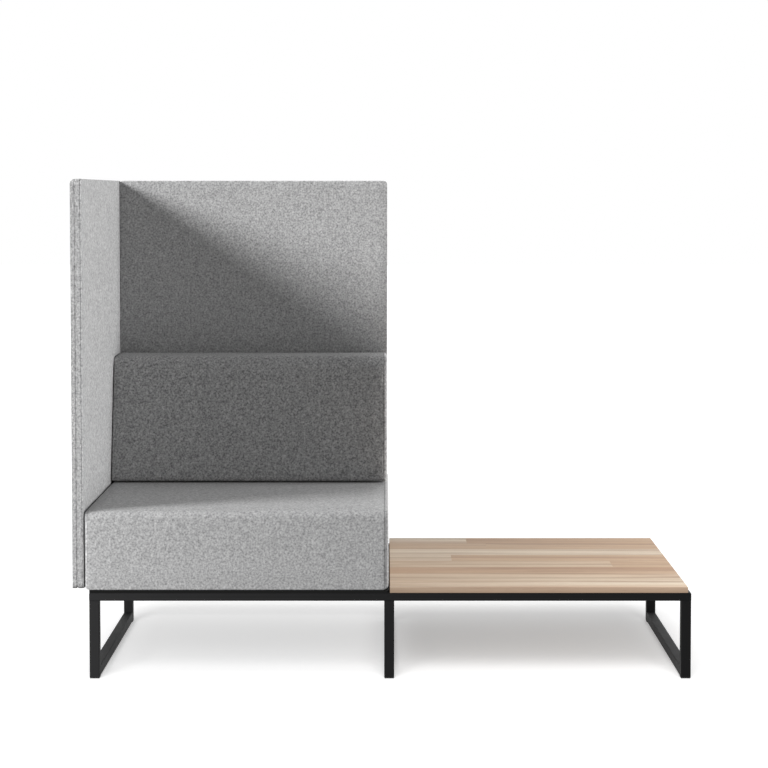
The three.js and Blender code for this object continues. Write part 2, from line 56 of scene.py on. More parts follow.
camera_turn = (math.pi / 2 - CAMERA_TILT, 0, 0)
bpy.ops.object.camera_add(location=CAMERA_PLACE, rotation=camera_turn)
camera = bpy.context.object
camera.name = "photo_camera"
camera.data.sensor_width = SENSOR_WIDTH
camera.data.lens = SENSOR_WIDTH * FOCAL_LENGTH_SHARE
camera.data.shift_x, camera.data.shift_y = CAMERA_SHIFT
scene.camera = camera


# Shader maths for every finish below. A socket takes plain arithmetic, and any other node
# comes from one method with its settings first and then what its inputs hold. The mix node's
# colour sockets share their names with its other sockets, so they go by number.
MIX_FIRST_COLOUR = 6
MIX_SECOND_COLOUR = 7
MIX_RESULT_COLOUR = 2


class Socket:
    def __init__(self, finish, output):
        self.finish = finish
        self.output = output

    def maths(self, operation, first, second=0.0):
        return self.finish.node("Math", {"operation": operation}, {0: first, 1: second})

    def __add__(self, other):
        return self.maths("ADD", self, other)

    def __radd__(self, other):
        return self.maths("ADD", other, self)

    def __sub__(self, other):
        return self.maths("SUBTRACT", self, other)

    def __mul__(self, other):
        return self.maths("MULTIPLY", self, other)

    def __truediv__(self, other):
        return self.maths("DIVIDE", self, other)

    def floor(self):
        return self.maths("FLOOR", self)

    def fraction(self):
        return self.maths("FRACT", self)

    def size(self):
        return self.maths("ABSOLUTE", self)

    def wave(self):
        return self.maths("SINE", self)

    def above(self, level):
        return self.maths("GREATER_THAN", self, level)

    def larger(self, other):
        return self.maths("MAXIMUM", self, other)

    def rising(self, base, span):
        """From base, up by as much as span."""
        return base + self * span

    def between(self, low, high, from_share=0.0, to_share=1.0):
        values = {"Value": self, "From Min": low, "From Max": high}
        values |= {"To Min": from_share, "To Max": to_share}
        return self.finish.node("MapRange", {"clamp": True}, values)


class Finish:
    def __init__(self, owner):
        owner.use_nodes = True
        self.owner = owner
        self.tree = owner.node_tree
        self.tree.nodes.clear()

    def node(self, kind, settings, values, output=0):
        made = self.tree.nodes.new("ShaderNode" + kind)
        for key, value in settings.items():
            if key == "stops":
                self.set_stops(made.color_ramp.elements, value)
            else:
                setattr(made, key, value)
        for key, value in values.items():
            self.feed(made.inputs[key], value)
        return Socket(self, made.outputs[output])

    def set_stops(self, elements, stops):
        while len(elements) < len(stops):
            elements.new(1.0)
        for element, (position, colour) in zip(elements, stops):
            element.position = position
            element.color = (*colour, 1.0)

    def feed(self, socket, value):
        if isinstance(value, Socket):
            self.tree.links.new(value.output, socket)
        elif socket.type == "RGBA" and len(value) == 3:
            socket.default_value = (*value, 1.0)
        else:
            socket.default_value = value

    def place(self):
        return self.node("TexCoord", {}, {}, "Object")

    def stretched(self, vector, scale, rotation=(0.0, 0.0, 0.0)):
        values = {"Vector": vector, "Scale": scale, "Rotation": rotation}
        return self.node("Mapping", {}, values)

    def noise(self, vector, scale, detail, roughness=0.5):
        values = {"Vector": vector, "Scale": scale, "Detail": detail, "Roughness": roughness}
        return self.node("TexNoise", {}, values)

    def blend(self, share, first, second):
        values = {"Factor": share, MIX_FIRST_COLOUR: first, MIX_SECOND_COLOUR: second}
        return self.node("Mix", {"data_type": "RGBA"}, values, MIX_RESULT_COLOUR)

    def bump(self, height, distance, strength):
        values = {"Height": height, "Distance": distance, "Strength": strength}
        return self.node("Bump", {}, values)

    def surface(self, values):
        return self.close(self.node("BsdfPrincipled", {}, values))

    def close(self, shader, kind="OutputMaterial"):
        end = self.tree.nodes.new("ShaderNode" + kind)
        self.tree.links.new(shader.output, end.inputs["Surface"])
        return self.owner


def new_finish(name):
    return Finish(bpy.data.materials.new(name))


# The studio: a white floor and a white surround. A low sun from the front left puts the side
# panel's shadow on the seat and back, and a broad lamp on the right lights that panel's face.
# The other lamps each lift one group of pieces, which the last section sorts out.
SUN_TRAVEL = Vector((1.0, 0.38, -0.49))
SUN_STRENGTH = 7.4
SEAT_SUN_STRENGTH = 3.75
SUN_SPREAD = math.radians(20)
SUN_DISTANCE = 3
LEFT_LAMP_PLACE = Vector((-1.6, -1.3, 0.35))
LEFT_LAMP_AIM = Vector((-0.5, -0.39, 0.25))
LEFT_LAMP_SIZE = 0.7
LEFT_LAMP_POWER = 13
LEG_LAMP_POWER = 25
TABLE_LAMP_PLACE = Vector((0.8, -2.1, 1.5))
TABLE_LAMP_AIM = Vector((0.4, 0.0, 0.23))
TABLE_LAMP_SIZE = 1.0
TABLE_LAMP_POWER = 54
RIGHT_LAMP_PLACE = Vector((4.6, 1.0, 0.9))
PANEL_LAMP_PLACE = Vector((4.6, -0.3, 0.9))
RIGHT_LAMP_AIM = Vector((-0.7, 0.1, 0.7))
RIGHT_LAMP_SIZE = 2.4
RIGHT_LAMP_POWER = 370
PANEL_LAMP_POWER = 325
FRONT_LIGHT_TRAVEL = Vector((0.3, 0.85, -0.6))
FRONT_LIGHT_STRENGTH = 3.5
FRONT_LIGHT_SPREAD = math.radians(10)
REAR_FILL_TRAVEL = Vector((0.2, -1.0, -0.25))
REAR_FILL_STRENGTH = 0.9
FLOOR_LIGHT_TRAVEL = Vector((0.1, 1.3, -1.0))
FLOOR_LIGHT_STRENGTH = 1.8
FLOOR_FILL_TRAVEL = Vector((0.1, 0.7, -1.0))
FLOOR_FILL_STRENGTH = 1.0
FLOOR_LIGHT_SPREAD = math.radians(40)
WIDE_SPREAD = math.radians(75)
SKY_STRENGTH = 0.29
FLOOR_SIZE = 60
FLOOR_COLOUR = (0.88, 0.88, 0.88)
FLOOR_BOUNCE = (0.36, 0.36, 0.36)
FLOOR_GLOW = 0.40
WHITE = (1.0, 1.0, 1.0)


def add_lamp(name, kind, place, direction):
    bpy.ops.object.light_add(type=kind, location=place)
    lamp = bpy.context.object
    lamp.name = name
    lamp.rotation_mode = "QUATERNION"
    lamp.rotation_quaternion = direction.to_track_quat("-Z", "Y")
    return lamp


def leave_out(lamp, pieces, role):
    """Keeps a lamp off the given pieces, or keeps them from throwing its shadow."""
    group = bpy.data.collections.new(f"{lamp.name}_{role}")
    for piece in pieces:
        group.objects.link(piece)
    for entry in group.collection_objects:
        entry.light_linking.link_state = "EXCLUDE"
    setattr(lamp.light_linking, f"{role}_collection", group)


def add_sun(name, travel, strength, spread):
    lamp = add_lamp(name, "SUN", travel * -SUN_DISTANCE, travel)
    lamp.data.energy = strength
    lamp.data.angle = spread
    return lamp


def add_soft_box(name, place, aim, size, power):
    lamp = add_lamp(name, "AREA", place, aim - place)
    lamp.data.size = size
    lamp.data.energy = power
    return lamp


sun = add_sun("low_sun", SUN_TRAVEL, SUN_STRENGTH, SUN_SPREAD)
seat_sun = add_sun("low_sun_on_seat", SUN_TRAVEL, SEAT_SUN_STRENGTH, SUN_SPREAD)
front_light = add_sun("front_light", FRONT_LIGHT_TRAVEL, FRONT_LIGHT_STRENGTH, FRONT_LIGHT_SPREAD)
rear_fill = add_sun("rear_fill", REAR_FILL_TRAVEL, REAR_FILL_STRENGTH, WIDE_SPREAD)
floor_light = add_sun(
    "floor_light", FLOOR_LIGHT_TRAVEL, FLOOR_LIGHT_STRENGTH, FLOOR_LIGHT_SPREAD
)
floor_fill = add_sun("floor_fill", FLOOR_FILL_TRAVEL, FLOOR_FILL_STRENGTH, FLOOR_LIGHT_SPREAD)
right_lamp = add_soft_box(
    "right_lamp", RIGHT_LAMP_PLACE, RIGHT_LAMP_AIM, RIGHT_LAMP_SIZE, RIGHT_LAMP_POWER
)
panel_lamp = add_soft_box(
    "panel_lamp", PANEL_LAMP_PLACE, RIGHT_LAMP_AIM, RIGHT_LAMP_SIZE, PANEL_LAMP_POWER
)
left_lamp = add_soft_box(
    "left_lamp", LEFT_LAMP_PLACE, LEFT_LAMP_AIM, LEFT_LAMP_SIZE, LEFT_LAMP_POWER
)
leg_lamp = add_soft_box(
    "leg_lamp", LEFT_LAMP_PLACE, LEFT_LAMP_AIM, LEFT_LAMP_SIZE, LEG_LAMP_POWER
)
table_lamp = add_soft_box(
    "table_lamp", TABLE_LAMP_PLACE, TABLE_LAMP_AIM, TABLE_LAMP_SIZE, TABLE_LAMP_POWER
)

bpy.ops.mesh.primitive_plane_add(size=FLOOR_SIZE, location=(0, 0, 0))
floor = bpy.context.object
floor.name = "studio_floor"


def sees_white(finish):
    """One where the camera, a gloss or a clear surface looks straight at the studio."""
    rays = [finish.node("LightPath", {}, {}, f"Is {kind} Ray") for kind in ("Camera", "Glossy")]
    clear = finish.node("LightPath", {}, {}, "Is Transmission Ray")
    return rays[0].larger(rays[1]).larger(clear)


floor_finish = new_finish("white_floor")
bounce = floor_finish.node("BsdfDiffuse", {}, {"Color": FLOOR_BOUNCE})
shaded = floor_finish.node("BsdfDiffuse", {}, {"Color": FLOOR_COLOUR})
glow = floor_finish.node("Emission", {}, {"Color": WHITE, "Strength": FLOOR_GLOW})
glowing = floor_finish.node("AddShader", {}, {0: shaded, 1: glow})
seen = sees_white(floor_finish)
floor_finish.close(floor_finish.node("MixShader", {}, {"Fac": seen, 1: bounce, 2: glowing}))
floor.data.materials.append(floor_finish.owner)

studio = Finish(bpy.data.worlds.new("white_studio"))
brightness = sees_white(studio).between(0.0, 1.0, SKY_STRENGTH, 1.0)
sky = studio.node("Background", {}, {"Color": WHITE, "Strength": brightness})
scene.world = studio.close(sky, "OutputWorld")

# The welded frame: square steel tube, mitred at the corners of its top frame and butted at the
# legs and skids, ground flush and powder-coated in satin black. In each finish a pattern's
# values are its scale, detail and roughness, and a relief's are its depth and strength.
POWDER_BLACK = (0.015, 0.015, 0.0155)
POWDER_WORN = (0.022, 0.022, 0.0225)
POWDER_ROUGHNESS = (0.55, 0.18)
BLACK_GLOSS = 0.08
ORANGE_PEEL = (900, 2)
ORANGE_PEEL_RELIEF = (0.00015, 0.5)
SCUFFS = (14, 4, 0.6)
TOP_FRAME = ["front_rail", "rear_rail", "left_side_rail", "middle_cross_rail", "right_side_rail"]
SIDES = ("left", "middle", "right")
LEG_LOOPS = [f"{side}_{part}" for side in SIDES for part in ("front_leg", "rear_leg", "skid")]


def paint(names, material):
    for name in names:
        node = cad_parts[name]
        node.data.materials.clear()
        node.data.materials.append(material)


def powder_coat():
    coat = new_finish("black_powder_coat")
    place = coat.place()
    orange_peel = coat.noise(place, *ORANGE_PEEL)
    scuffs = coat.noise(place, *SCUFFS)
    return coat.surface(
        {
            "Base Color": coat.blend(scuffs, POWDER_BLACK, POWDER_WORN),
            "Roughness": scuffs.rising(*POWDER_ROUGHNESS),
            "Specular IOR Level": BLACK_GLOSS,
            "Normal": coat.bump(orange_peel, *ORANGE_PEEL_RELIEF),
        }
    )


paint(TOP_FRAME + LEG_LOOPS, powder_coat())

# The feet: black nylon plugs driven into the legs. Each holds a zinc-plated levelling screw,
# which is screwed right in and ends just inside the plug's flange.
FEET = [f"{side}_{row}" for side in SIDES for row in ("front", "rear")]
NYLON_BLACK = (0.009, 0.009, 0.009)
NYLON_GREY = (0.016, 0.016, 0.016)
NYLON_ROUGHNESS = (0.5, 0.15)
NYLON_GRAIN = (1500, 2)
NYLON_RELIEF = (0.0001, 0.4)
ZINC_BLUE = (0.5, 0.51, 0.54)
ZINC_PALE = (0.68, 0.68, 0.66)
ZINC_ROUGHNESS = (0.28, 0.2)
ZINC_CLOUD = (220, 4)
ZINC_GRAIN = (2600, 2)
ZINC_RELIEF = (0.00005, 0.3)


def moulded_nylon():
    nylon = new_finish("black_nylon")
    grain = nylon.noise(nylon.place(), *NYLON_GRAIN)
    return nylon.surface(
        {
            "Base Color": nylon.blend(grain, NYLON_BLACK, NYLON_GREY),
            "Roughness": grain.rising(*NYLON_ROUGHNESS),
            "Normal": nylon.bump(grain, *NYLON_RELIEF),
        }
    )


def zinc_plate():
    zinc = new_finish("zinc_plate")
    place = zinc.place()
    cloud = zinc.noise(place, *ZINC_CLOUD)
    return zinc.surface(
        {
            "Base Color": zinc.blend(cloud, ZINC_BLUE, ZINC_PALE),
            "Metallic": 1.0,
            "Roughness": cloud.rising(*ZINC_ROUGHNESS),
            "Normal": zinc.bump(zinc.noise(place, *ZINC_GRAIN), *ZINC_RELIEF),
        }
    )


zinc = zinc_plate()
paint([f"{foot}_foot_insert" for foot in FEET], moulded_nylon())
paint([f"{foot}_leveller" for foot in FEET], zinc)

# The seat's base: a thin black board on the rails. Four screws go up through the rails and
# the board into the seat's box, and four more hold the table top from below.
NUMBERS = (1, 2, 3, 4)
LAMINATE_BLACK = (0.004, 0.004, 0.004)
LAMINATE_GREY = (0.008, 0.008, 0.008)
LAMINATE_ROUGHNESS = (0.6, 0.15)
LAMINATE_GRAIN = (700, 3)
LAMINATE_RELIEF = (0.0001, 0.3)


def black_laminate():
    laminate = new_finish("black_laminate")
    grain = laminate.noise(laminate.place(), *LAMINATE_GRAIN)
    return laminate.surface(
        {
            "Base Color": laminate.blend(grain, LAMINATE_BLACK, LAMINATE_GREY),
            "Roughness": grain.rising(*LAMINATE_ROUGHNESS),
            "Specular IOR Level": BLACK_GLOSS,
            "Normal": laminate.bump(grain, *LAMINATE_RELIEF),
        }
    )


paint(["seat_base_board"], black_laminate())
paint([f"seat_screw_{number}" for number in NUMBERS], zinc)
paint([f"table_screw_{number}" for number in NUMBERS], zinc)

# Inside the seat: a plywood box with a deck, and a block of cut foam on the deck that wraps
# over the box's sides.
PLYWOOD_DARK = (0.45, 0.3, 0.15)
PLYWOOD_PALE = (0.66, 0.5, 0.3)
PLYWOOD_GLUE = (0.3, 0.18, 0.08)
PLYWOOD_GLUE_SHARE = 0.3
PLYWOOD_ROUGHNESS = (0.7, 0.15)
PLYWOOD_GRAIN = (1, 6, 0.6)
PLYWOOD_GRAIN_STRETCH = (6, 90, 90)
PLYWOOD_PLIES = (1, 2)
PLYWOOD_PLY_STRETCH = (1, 1, 700)
PLYWOOD_RELIEF = (0.0002, 0.4)
FOAM_DARK = (0.62, 0.57, 0.44)
FOAM_PALE = (0.82, 0.79, 0.68)
FOAM_ROUGHNESS = 0.9
FOAM_CELL_SCALE = 900
FOAM_RELIEF = (0.0005, 0.6)


def raw_plywood():
    plywood = new_finish("raw_plywood")
    place = plywood.place()
    grain = plywood.noise(plywood.stretched(place, PLYWOOD_GRAIN_STRETCH), *PLYWOOD_GRAIN)
    plies = plywood.noise(plywood.stretched(place, PLYWOOD_PLY_STRETCH), *PLYWOOD_PLIES)
    tone = plywood.blend(grain, PLYWOOD_DARK, PLYWOOD_PALE)
    return plywood.surface(
        {
            "Base Color": plywood.blend(plies * PLYWOOD_GLUE_SHARE, tone, PLYWOOD_GLUE),
            "Roughness": grain.rising(*PLYWOOD_ROUGHNESS),
            "Normal": plywood.bump(grain, *PLYWOOD_RELIEF),
        }
    )


def open_foam():
    foam = new_finish("open_cell_foam")
    cells = foam.node("TexVoronoi", {}, {"Vector": foam.place(), "Scale": FOAM_CELL_SCALE})
    return foam.surface(
        {
            "Base Color": foam.blend(cells, FOAM_DARK, FOAM_PALE),
            "Roughness": FOAM_ROUGHNESS,
            "Normal": foam.bump(cells, *FOAM_RELIEF),
        }
    )


plywood = raw_plywood()
foam = open_foam()
paint(["seat_box_frame", "seat_deck"], plywood)
paint(["seat_foam"], foam)

# The seat's cover: light grey melange wool felt, sewn from a wrap over the front and top and
# a side piece at each end, pulled tight over the foam. The seams run near both ends.
SEAT_ROUND = 0.010
SEAT_FRONT_ROUND = 0.018
SEAT_LOWER_ROUND = 0.013
SEAT_HEM_ROUND = 0.003
SEAT_SWELL = 0.003
SEAT_HELD_HEIGHT = 0.03
SEAT_PRESSED_DEPTH = 0.06
START_INSET = Vector((0.0004, 0.0004, 0.0004))
CLOTH_CELL = 0.015
SEAM_INSET = 0.0105
SEAM_HALF_WIDTH = 0.0013
SEAM_DEPTH = 0.0016
FELT_DARK = (0.18, 0.18, 0.182)
FELT_MIDDLE = (0.37, 0.37, 0.372)
FELT_LIGHT = (0.58, 0.58, 0.578)
FELT_MIDDLE_LEVEL = 0.5
FELT_ROUGHNESS = 0.92
FELT_GLOSS = 0.15
FELT_SHEEN = 0.05
FELT_SHEEN_ROUGHNESS = 0.6
FELT_RELIEF = (0.0012, 0.25)
SEAT_TONES = 0.18
CLUMPS = (200, 3, 0.6)
CLUMP_SHARE = 0.66
CLUMP_PILE_SHARE = 0.5
PATCHES = (95, 2, 0.5)
PATCH_STRETCH = (1.0, 1.0, 0.7)
PATCH_SHARE = 0.14
FIBRES = (1, 2, 0.5)
FIBRE_STRETCH = (1300, 1300, 130)
FIBRE_TURNS = ((0.0, 0.0, 0.0), (1.2, 0.3, 0.0), (0.5, 1.1, 0.4), (1.6, 0.9, 1.2))
FIBRE_SHARE = 0.2
CLOTH_QUALITY = 5
CLOTH_MASS = 0.4
CLOTH_STIFFNESS = 40
CLOTH_BENDING = 4
CLOTH_PRESSURE = 4.0
CLOTH_STEPS = 20
SMOOTHING_LEVELS = 1
ROUND_SEGMENTS = 5
SEAM_PICK_SHARE = 0.1


def wool_felt(name, tones):
    """Felt of mixed grey wool. tones is how far the melange runs from its middle to an end tone,
    so a smaller value gives a stronger speckle."""
    felt = new_finish(name)
    place = felt.place()
    clumps = felt.noise(place, *CLUMPS)
    patches = felt.noise(felt.stretched(place, PATCH_STRETCH), *PATCHES)
    fibres = [
        felt.noise(felt.stretched(place, FIBRE_STRETCH, turn), *FIBRES) for turn in FIBRE_TURNS
    ]
    tangle = sum(fibres[1:], fibres[0]) * (1 / len(fibres))
    melange = clumps * CLUMP_SHARE + patches * PATCH_SHARE + tangle * FIBRE_SHARE
    stops = [
        (FELT_MIDDLE_LEVEL - tones, FELT_DARK),
        (FELT_MIDDLE_LEVEL, FELT_MIDDLE),
        (FELT_MIDDLE_LEVEL + tones, FELT_LIGHT),
    ]
    colour = felt.node("ValToRGB", {"stops": stops}, {"Fac": melange})
    pile = clumps * CLUMP_PILE_SHARE + tangle
    return felt.surface(
        {
            "Base Color": colour,
            "Roughness": FELT_ROUGHNESS,
            "Specular IOR Level": FELT_GLOSS,
            "Sheen Weight": FELT_SHEEN,
            "Sheen Roughness": FELT_SHEEN_ROUGHNESS,
            "Normal": felt.bump(pile, *FELT_RELIEF),
        }
    )


def make_active(piece):
    if bpy.context.mode != "OBJECT":
        bpy.ops.object.mode_set(mode="OBJECT")
    bpy.ops.object.select_all(action="DESELECT")
    bpy.context.view_layer.objects.active = piece
    piece.select_set(True)


def apply_modifier(piece, kind, settings):
    make_active(piece)
    modifier = piece.modifiers.new(kind.lower(), kind)
    for key, value in settings.items():
        setattr(modifier, key, value)
    bpy.ops.object.modifier_apply(modifier=modifier.name)


def edit_where(piece, chosen):
    """Goes into edit mode with the vertices selected whose place is chosen."""
    make_active(piece)
    for part in (piece.data.edges, piece.data.polygons):
        part.foreach_set("select", [False] * len(part))
    for vertex in piece.data.vertices:
        vertex.select = chosen(vertex.co)
    bpy.context.tool_settings.mesh_select_mode = (True, False, False)
    bpy.ops.object.mode_set(mode="EDIT")


def rounded_block(name, low, high, rounding, top_front_shift=0.0, segments=ROUND_SEGMENTS):
    """A closed block whose twelve edges are rounded. rounding takes the direction in which an
    edge runs and the sides that it lies on, as signs, and returns its radius."""
    bpy.ops.object.select_all(action="DESELECT")
    bpy.ops.mesh.primitive_cube_add(size=1, location=(low + high) / 2)
    block = bpy.context.object
    block.name = name
    block.scale = high - low
    bpy.ops.object.transform_apply(location=True, rotation=True, scale=True)
    middle = (low + high) / 2
    radii = []
    for edge in block.data.edges:
        first, second = (block.data.vertices[index].co for index in edge.vertices)
        along = max(range(3), key=lambda axis: abs((second - first)[axis]))
        centre = (first + second) / 2 - middle
        signs = [0 if axis == along else math.copysign(1, centre[axis]) for axis in range(3)]
        radii.append(rounding(signs))
    if top_front_shift:
        edit_where(block, lambda co: co.z > middle.z and co.y < middle.y)
        bpy.ops.transform.translate(value=(0, top_front_shift, 0))
        bpy.ops.object.mode_set(mode="OBJECT")
    weights = block.data.attributes.new("bevel_weight_edge", "FLOAT", "EDGE")
    for entry, radius in zip(weights.data, radii):
        entry.value = radius / max(radii)
    settings = {"limit_method": "WEIGHT", "width": max(radii), "segments": segments}
    apply_modifier(block, "BEVEL", settings)
    return block


def cut_at(piece, axis, places):
    """Cuts the piece's skin through at each of these places along one axis."""
    normal = Vector([1 if turn == axis else 0 for turn in range(3)])
    edit_where(piece, lambda co: True)
    for place in places:
        bpy.ops.mesh.select_all(action="SELECT")
        bpy.ops.mesh.bisect(plane_co=normal * place, plane_no=normal)
    bpy.ops.object.mode_set(mode="OBJECT")


def cut_cells(piece, axes, low, high, cell):
    """Cuts the piece's skin into even cells along these axes."""
    for axis in axes:
        span = high[axis] - low[axis]
        cells = max(round(span / cell), 1)
        cut_at(piece, axis, [low[axis] + span * step / cells for step in range(1, cells)])


def stuff(piece, left, right, swell, held):
    """Blows the cover up as cloth over its stuffing, with the held points fixed. swell caps how
    far a point may rise, no point sinks, and the ends stay between left and right."""
    start = [vertex.co.copy() for vertex in piece.data.vertices]
    outward = [vertex.normal.copy() for vertex in piece.data.vertices]
    group = piece.vertex_groups.new(name="held")
    group.add([index for index, co in enumerate(start) if held(co)], 1.0, "REPLACE")
    make_active(piece)
    cloth = piece.modifiers.new("stuffing", "CLOTH")
    cloth.settings.quality = CLOTH_QUALITY
    cloth.settings.mass = CLOTH_MASS
    cloth.settings.tension_stiffness = CLOTH_STIFFNESS
    cloth.settings.compression_stiffness = CLOTH_STIFFNESS
    cloth.settings.bending_stiffness = CLOTH_BENDING
    cloth.settings.use_pressure = True
    cloth.settings.uniform_pressure_force = CLOTH_PRESSURE
    cloth.settings.vertex_group_mass = group.name
    cloth.settings.effector_weights.gravity = 0
    for step in range(1, CLOTH_STEPS + 1):
        scene.frame_set(step)
    bpy.ops.object.modifier_apply(modifier=cloth.name)
    scene.frame_set(1)
    for vertex, place, normal in zip(piece.data.vertices, start, outward):
        rise = min(max((vertex.co - place).dot(normal), 0), swell)
        vertex.co = place + normal * rise
        vertex.co.x = min(max(vertex.co.x, left), right)
    piece.vertex_groups.clear()


def sew_seam(piece, axis, place, depth, half_width):
    """Cuts three loops round the piece and draws the middle one in."""
    cut_at(piece, axis, [place + offset for offset in (-half_width, 0, half_width)])
    edit_where(piece, lambda co: abs(co[axis] - place) < half_width * SEAM_PICK_SHARE)
    bpy.ops.transform.shrink_fatten(value=-depth)
    bpy.ops.object.mode_set(mode="OBJECT")


def sew_ends(piece, left, right):
    """Smooths a stuffed cover, and sews a seam round it near each end."""
    apply_modifier(piece, "SUBSURF", {"levels": SMOOTHING_LEVELS})
    for place in (left + SEAM_INSET, right - SEAM_INSET):
        sew_seam(piece, 0, place, SEAM_DEPTH, SEAM_HALF_WIDTH)
    bpy.ops.object.shade_smooth()


def dress(piece, material, node):
    """Gives a finished piece its material, and its place in the unit for a built part."""
    make_active(piece)
    piece.data.materials.append(material)
    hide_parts(node)
    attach(piece, "unit")


seat_felt = wool_felt("seat_wool_felt", SEAT_TONES)
seat_low, seat_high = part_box("seat_cover")
cushion_low, cushion_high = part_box("back_cushion_cover")
seat_start = (seat_low + START_INSET, seat_high - START_INSET)


def seat_rounding(signs):
    if signs[:2] == [0, -1]:
        return SEAT_FRONT_ROUND if signs[2] > 0 else SEAT_HEM_ROUND
    return SEAT_LOWER_ROUND if signs[2] < 0 else SEAT_ROUND


seat = rounded_block("seat_felt", *seat_start, seat_rounding)
cut_cells(seat, (0, 1, 2), *seat_start, CLOTH_CELL)


def seat_held(place):
    """On the base board, and round the foot of the back cushion, which presses on it."""
    under_cushion = place.y > cushion_low.y - SEAT_PRESSED_DEPTH
    return place.z < seat_low.z + SEAT_HELD_HEIGHT or under_cushion


stuff(seat, seat_low.x, seat_high.x, SEAT_SWELL, seat_held)
sew_ends(seat, seat_low.x, seat_high.x)
dress(seat, seat_felt, "seat_cover")

# Inside the back cushion: a firm foam wedge on a thin plywood board. Two strips of hook tape
# hold the board on the back panel, and a zip runs along the cushion's underside.
TAPE_BLACK = (0.012, 0.012, 0.012)
TAPE_GREY = (0.04, 0.04, 0.04)
TAPE_ROUGHNESS = 0.85
TAPE_RIB_SCALE = 300
TAPE_RIB_DISTORTION = 0.5
TAPE_RELIEF = (0.0003, 0.6)

paint(["back_cushion_board"], plywood)
paint(["back_cushion_foam"], foam)


def woven_tape():
    tape = new_finish("black_woven_tape")
    values = {"Vector": tape.place(), "Scale": TAPE_RIB_SCALE, "Distortion": TAPE_RIB_DISTORTION}
    ribs = tape.node("TexWave", {}, values, "Fac")
    return tape.surface(
        {
            "Base Color": tape.blend(ribs, TAPE_BLACK, TAPE_GREY),
            "Roughness": TAPE_ROUGHNESS,
            "Normal": tape.bump(ribs, *TAPE_RELIEF),
        }
    )


paint(["left_hook_tape", "right_hook_tape", "back_cushion_zip"], woven_tape())

# The back cushion's cover: the same felt round the foam wedge, with a soft rolled edge along
# the top of its leaning front and a seam near each end. The foot's lift is short and low enough
# to keep the cover below the foam.
CUSHION_TONES = 0.125
CUSHION_TOP_DEPTH = 0.147
CUSHION_ROLL = 0.030
CUSHION_FOOT_ROUND = 0.009
CUSHION_FOOT_LIFT = 0.004
CUSHION_LIFT_DEPTH = 0.02
CUSHION_END_ROUND = 0.009
CUSHION_SWELL = 0.0025
CUSHION_FOOT_PROUD = Vector((0, 0.003, 0))
CUSHION_HELD_DEPTH = 0.02
CUSHION_HELD_HEIGHT = 0.008

cushion_start = (cushion_low + START_INSET - CUSHION_FOOT_PROUD, cushion_high - START_INSET)


def cushion_rounding(signs):
    if signs[:2] == [0, -1]:
        return CUSHION_ROLL if signs[2] > 0 else CUSHION_FOOT_ROUND
    return CUSHION_END_ROUND


cushion = rounded_block(
    "back_cushion_felt",
    *cushion_start,
    cushion_rounding,
    top_front_shift=cushion_high.y - CUSHION_TOP_DEPTH - cushion_low.y,
)
cut_cells(cushion, (0, 1, 2), *cushion_start, CLOTH_CELL)


def cushion_held(place):
    """On the back panel, and where the cushion stands on the seat."""
    on_seat = place.z < cushion_low.z + CUSHION_HELD_HEIGHT
    return on_seat or place.y > cushion_high.y - CUSHION_HELD_DEPTH


def lift_foot(vertex):
    """Draws the cover's lower front edge up off the seat, which leaves a narrow dark gap."""
    depth = max(vertex.co.y - cushion_start[0].y, 0)
    height = max(vertex.co.z - cushion_start[0].z, 0)
    share = max(1 - depth / CUSHION_LIFT_DEPTH, 0) * max(1 - height / CUSHION_FOOT_ROUND, 0)
    vertex.co.z += CUSHION_FOOT_LIFT * share


stuff(cushion, cushion_low.x, cushion_high.x, CUSHION_SWELL, cushion_held)
for vertex in cushion.data.vertices:
    lift_foot(vertex)
sew_ends(cushion, cushion_low.x, cushion_high.x)
cushion_felt = wool_felt("cushion_wool_felt", CUSHION_TONES)
dress(cushion, cushion_felt, "back_cushion_cover")

# Inside each acoustic panel: a board between two pads. Bolts from the seat's box hold both
# panels, and two beech dowels locate the side panel on the end of the back panel.
PANELS = ("side", "back")
PANEL_PADS = ["side_panel_outer_pad", "side_panel_inner_pad"]
PANEL_PADS += ["back_panel_rear_pad", "back_panel_front_pad"]
BEECH_DARK = (0.5, 0.33, 0.18)
BEECH_PALE = (0.65, 0.47, 0.29)
BEECH_ROUGHNESS = 0.65
BEECH_GRAIN = (1, 4)
BEECH_STRETCH = (20, 400, 400)
BEECH_RELIEF = (0.0001, 0.4)


def beech():
    wood = new_finish("beech_dowel")
    grain = wood.noise(wood.stretched(wood.place(), BEECH_STRETCH), *BEECH_GRAIN)
    return wood.surface(
        {
            "Base Color": wood.blend(grain, BEECH_DARK, BEECH_PALE),
            "Roughness": BEECH_ROUGHNESS,
            "Normal": wood.bump(grain, *BEECH_RELIEF),
        }
    )


paint([f"{panel}_panel_core" for panel in PANELS], plywood)
paint(PANEL_PADS, foam)
paint([f"{panel}_panel_bolt_{number}" for panel in PANELS for number in (1, 2)], zinc)
paint(["corner_dowel_1", "corner_dowel_2"], beech())

# The acoustic panels' covers: the same felt, with a separate strip round the edge, so that
# two seams follow it. The outer face is padded round and the inner face is crisp. Each seam has
# its place from the outer face, its depth and half its width.
PANEL_CORNER_ROUND = 0.012
PANEL_TOP_ROUND = 0.012
PANEL_FOOT_ROUND = 0.002
PANEL_OUTER_ROUND = 0.005
PANEL_INNER_ROUND = 0.003
PANEL_ROUND_SEGMENTS = 6
PANEL_CELL = 0.022
PANEL_SEAMS = ((0.0120, 0.0027, 0.0026), (0.0256, 0.0020, 0.0016))
SEAM_CREASE = math.radians(25)
PANEL_TONES = 0.16

panel_felt = wool_felt("panel_wool_felt", PANEL_TONES)


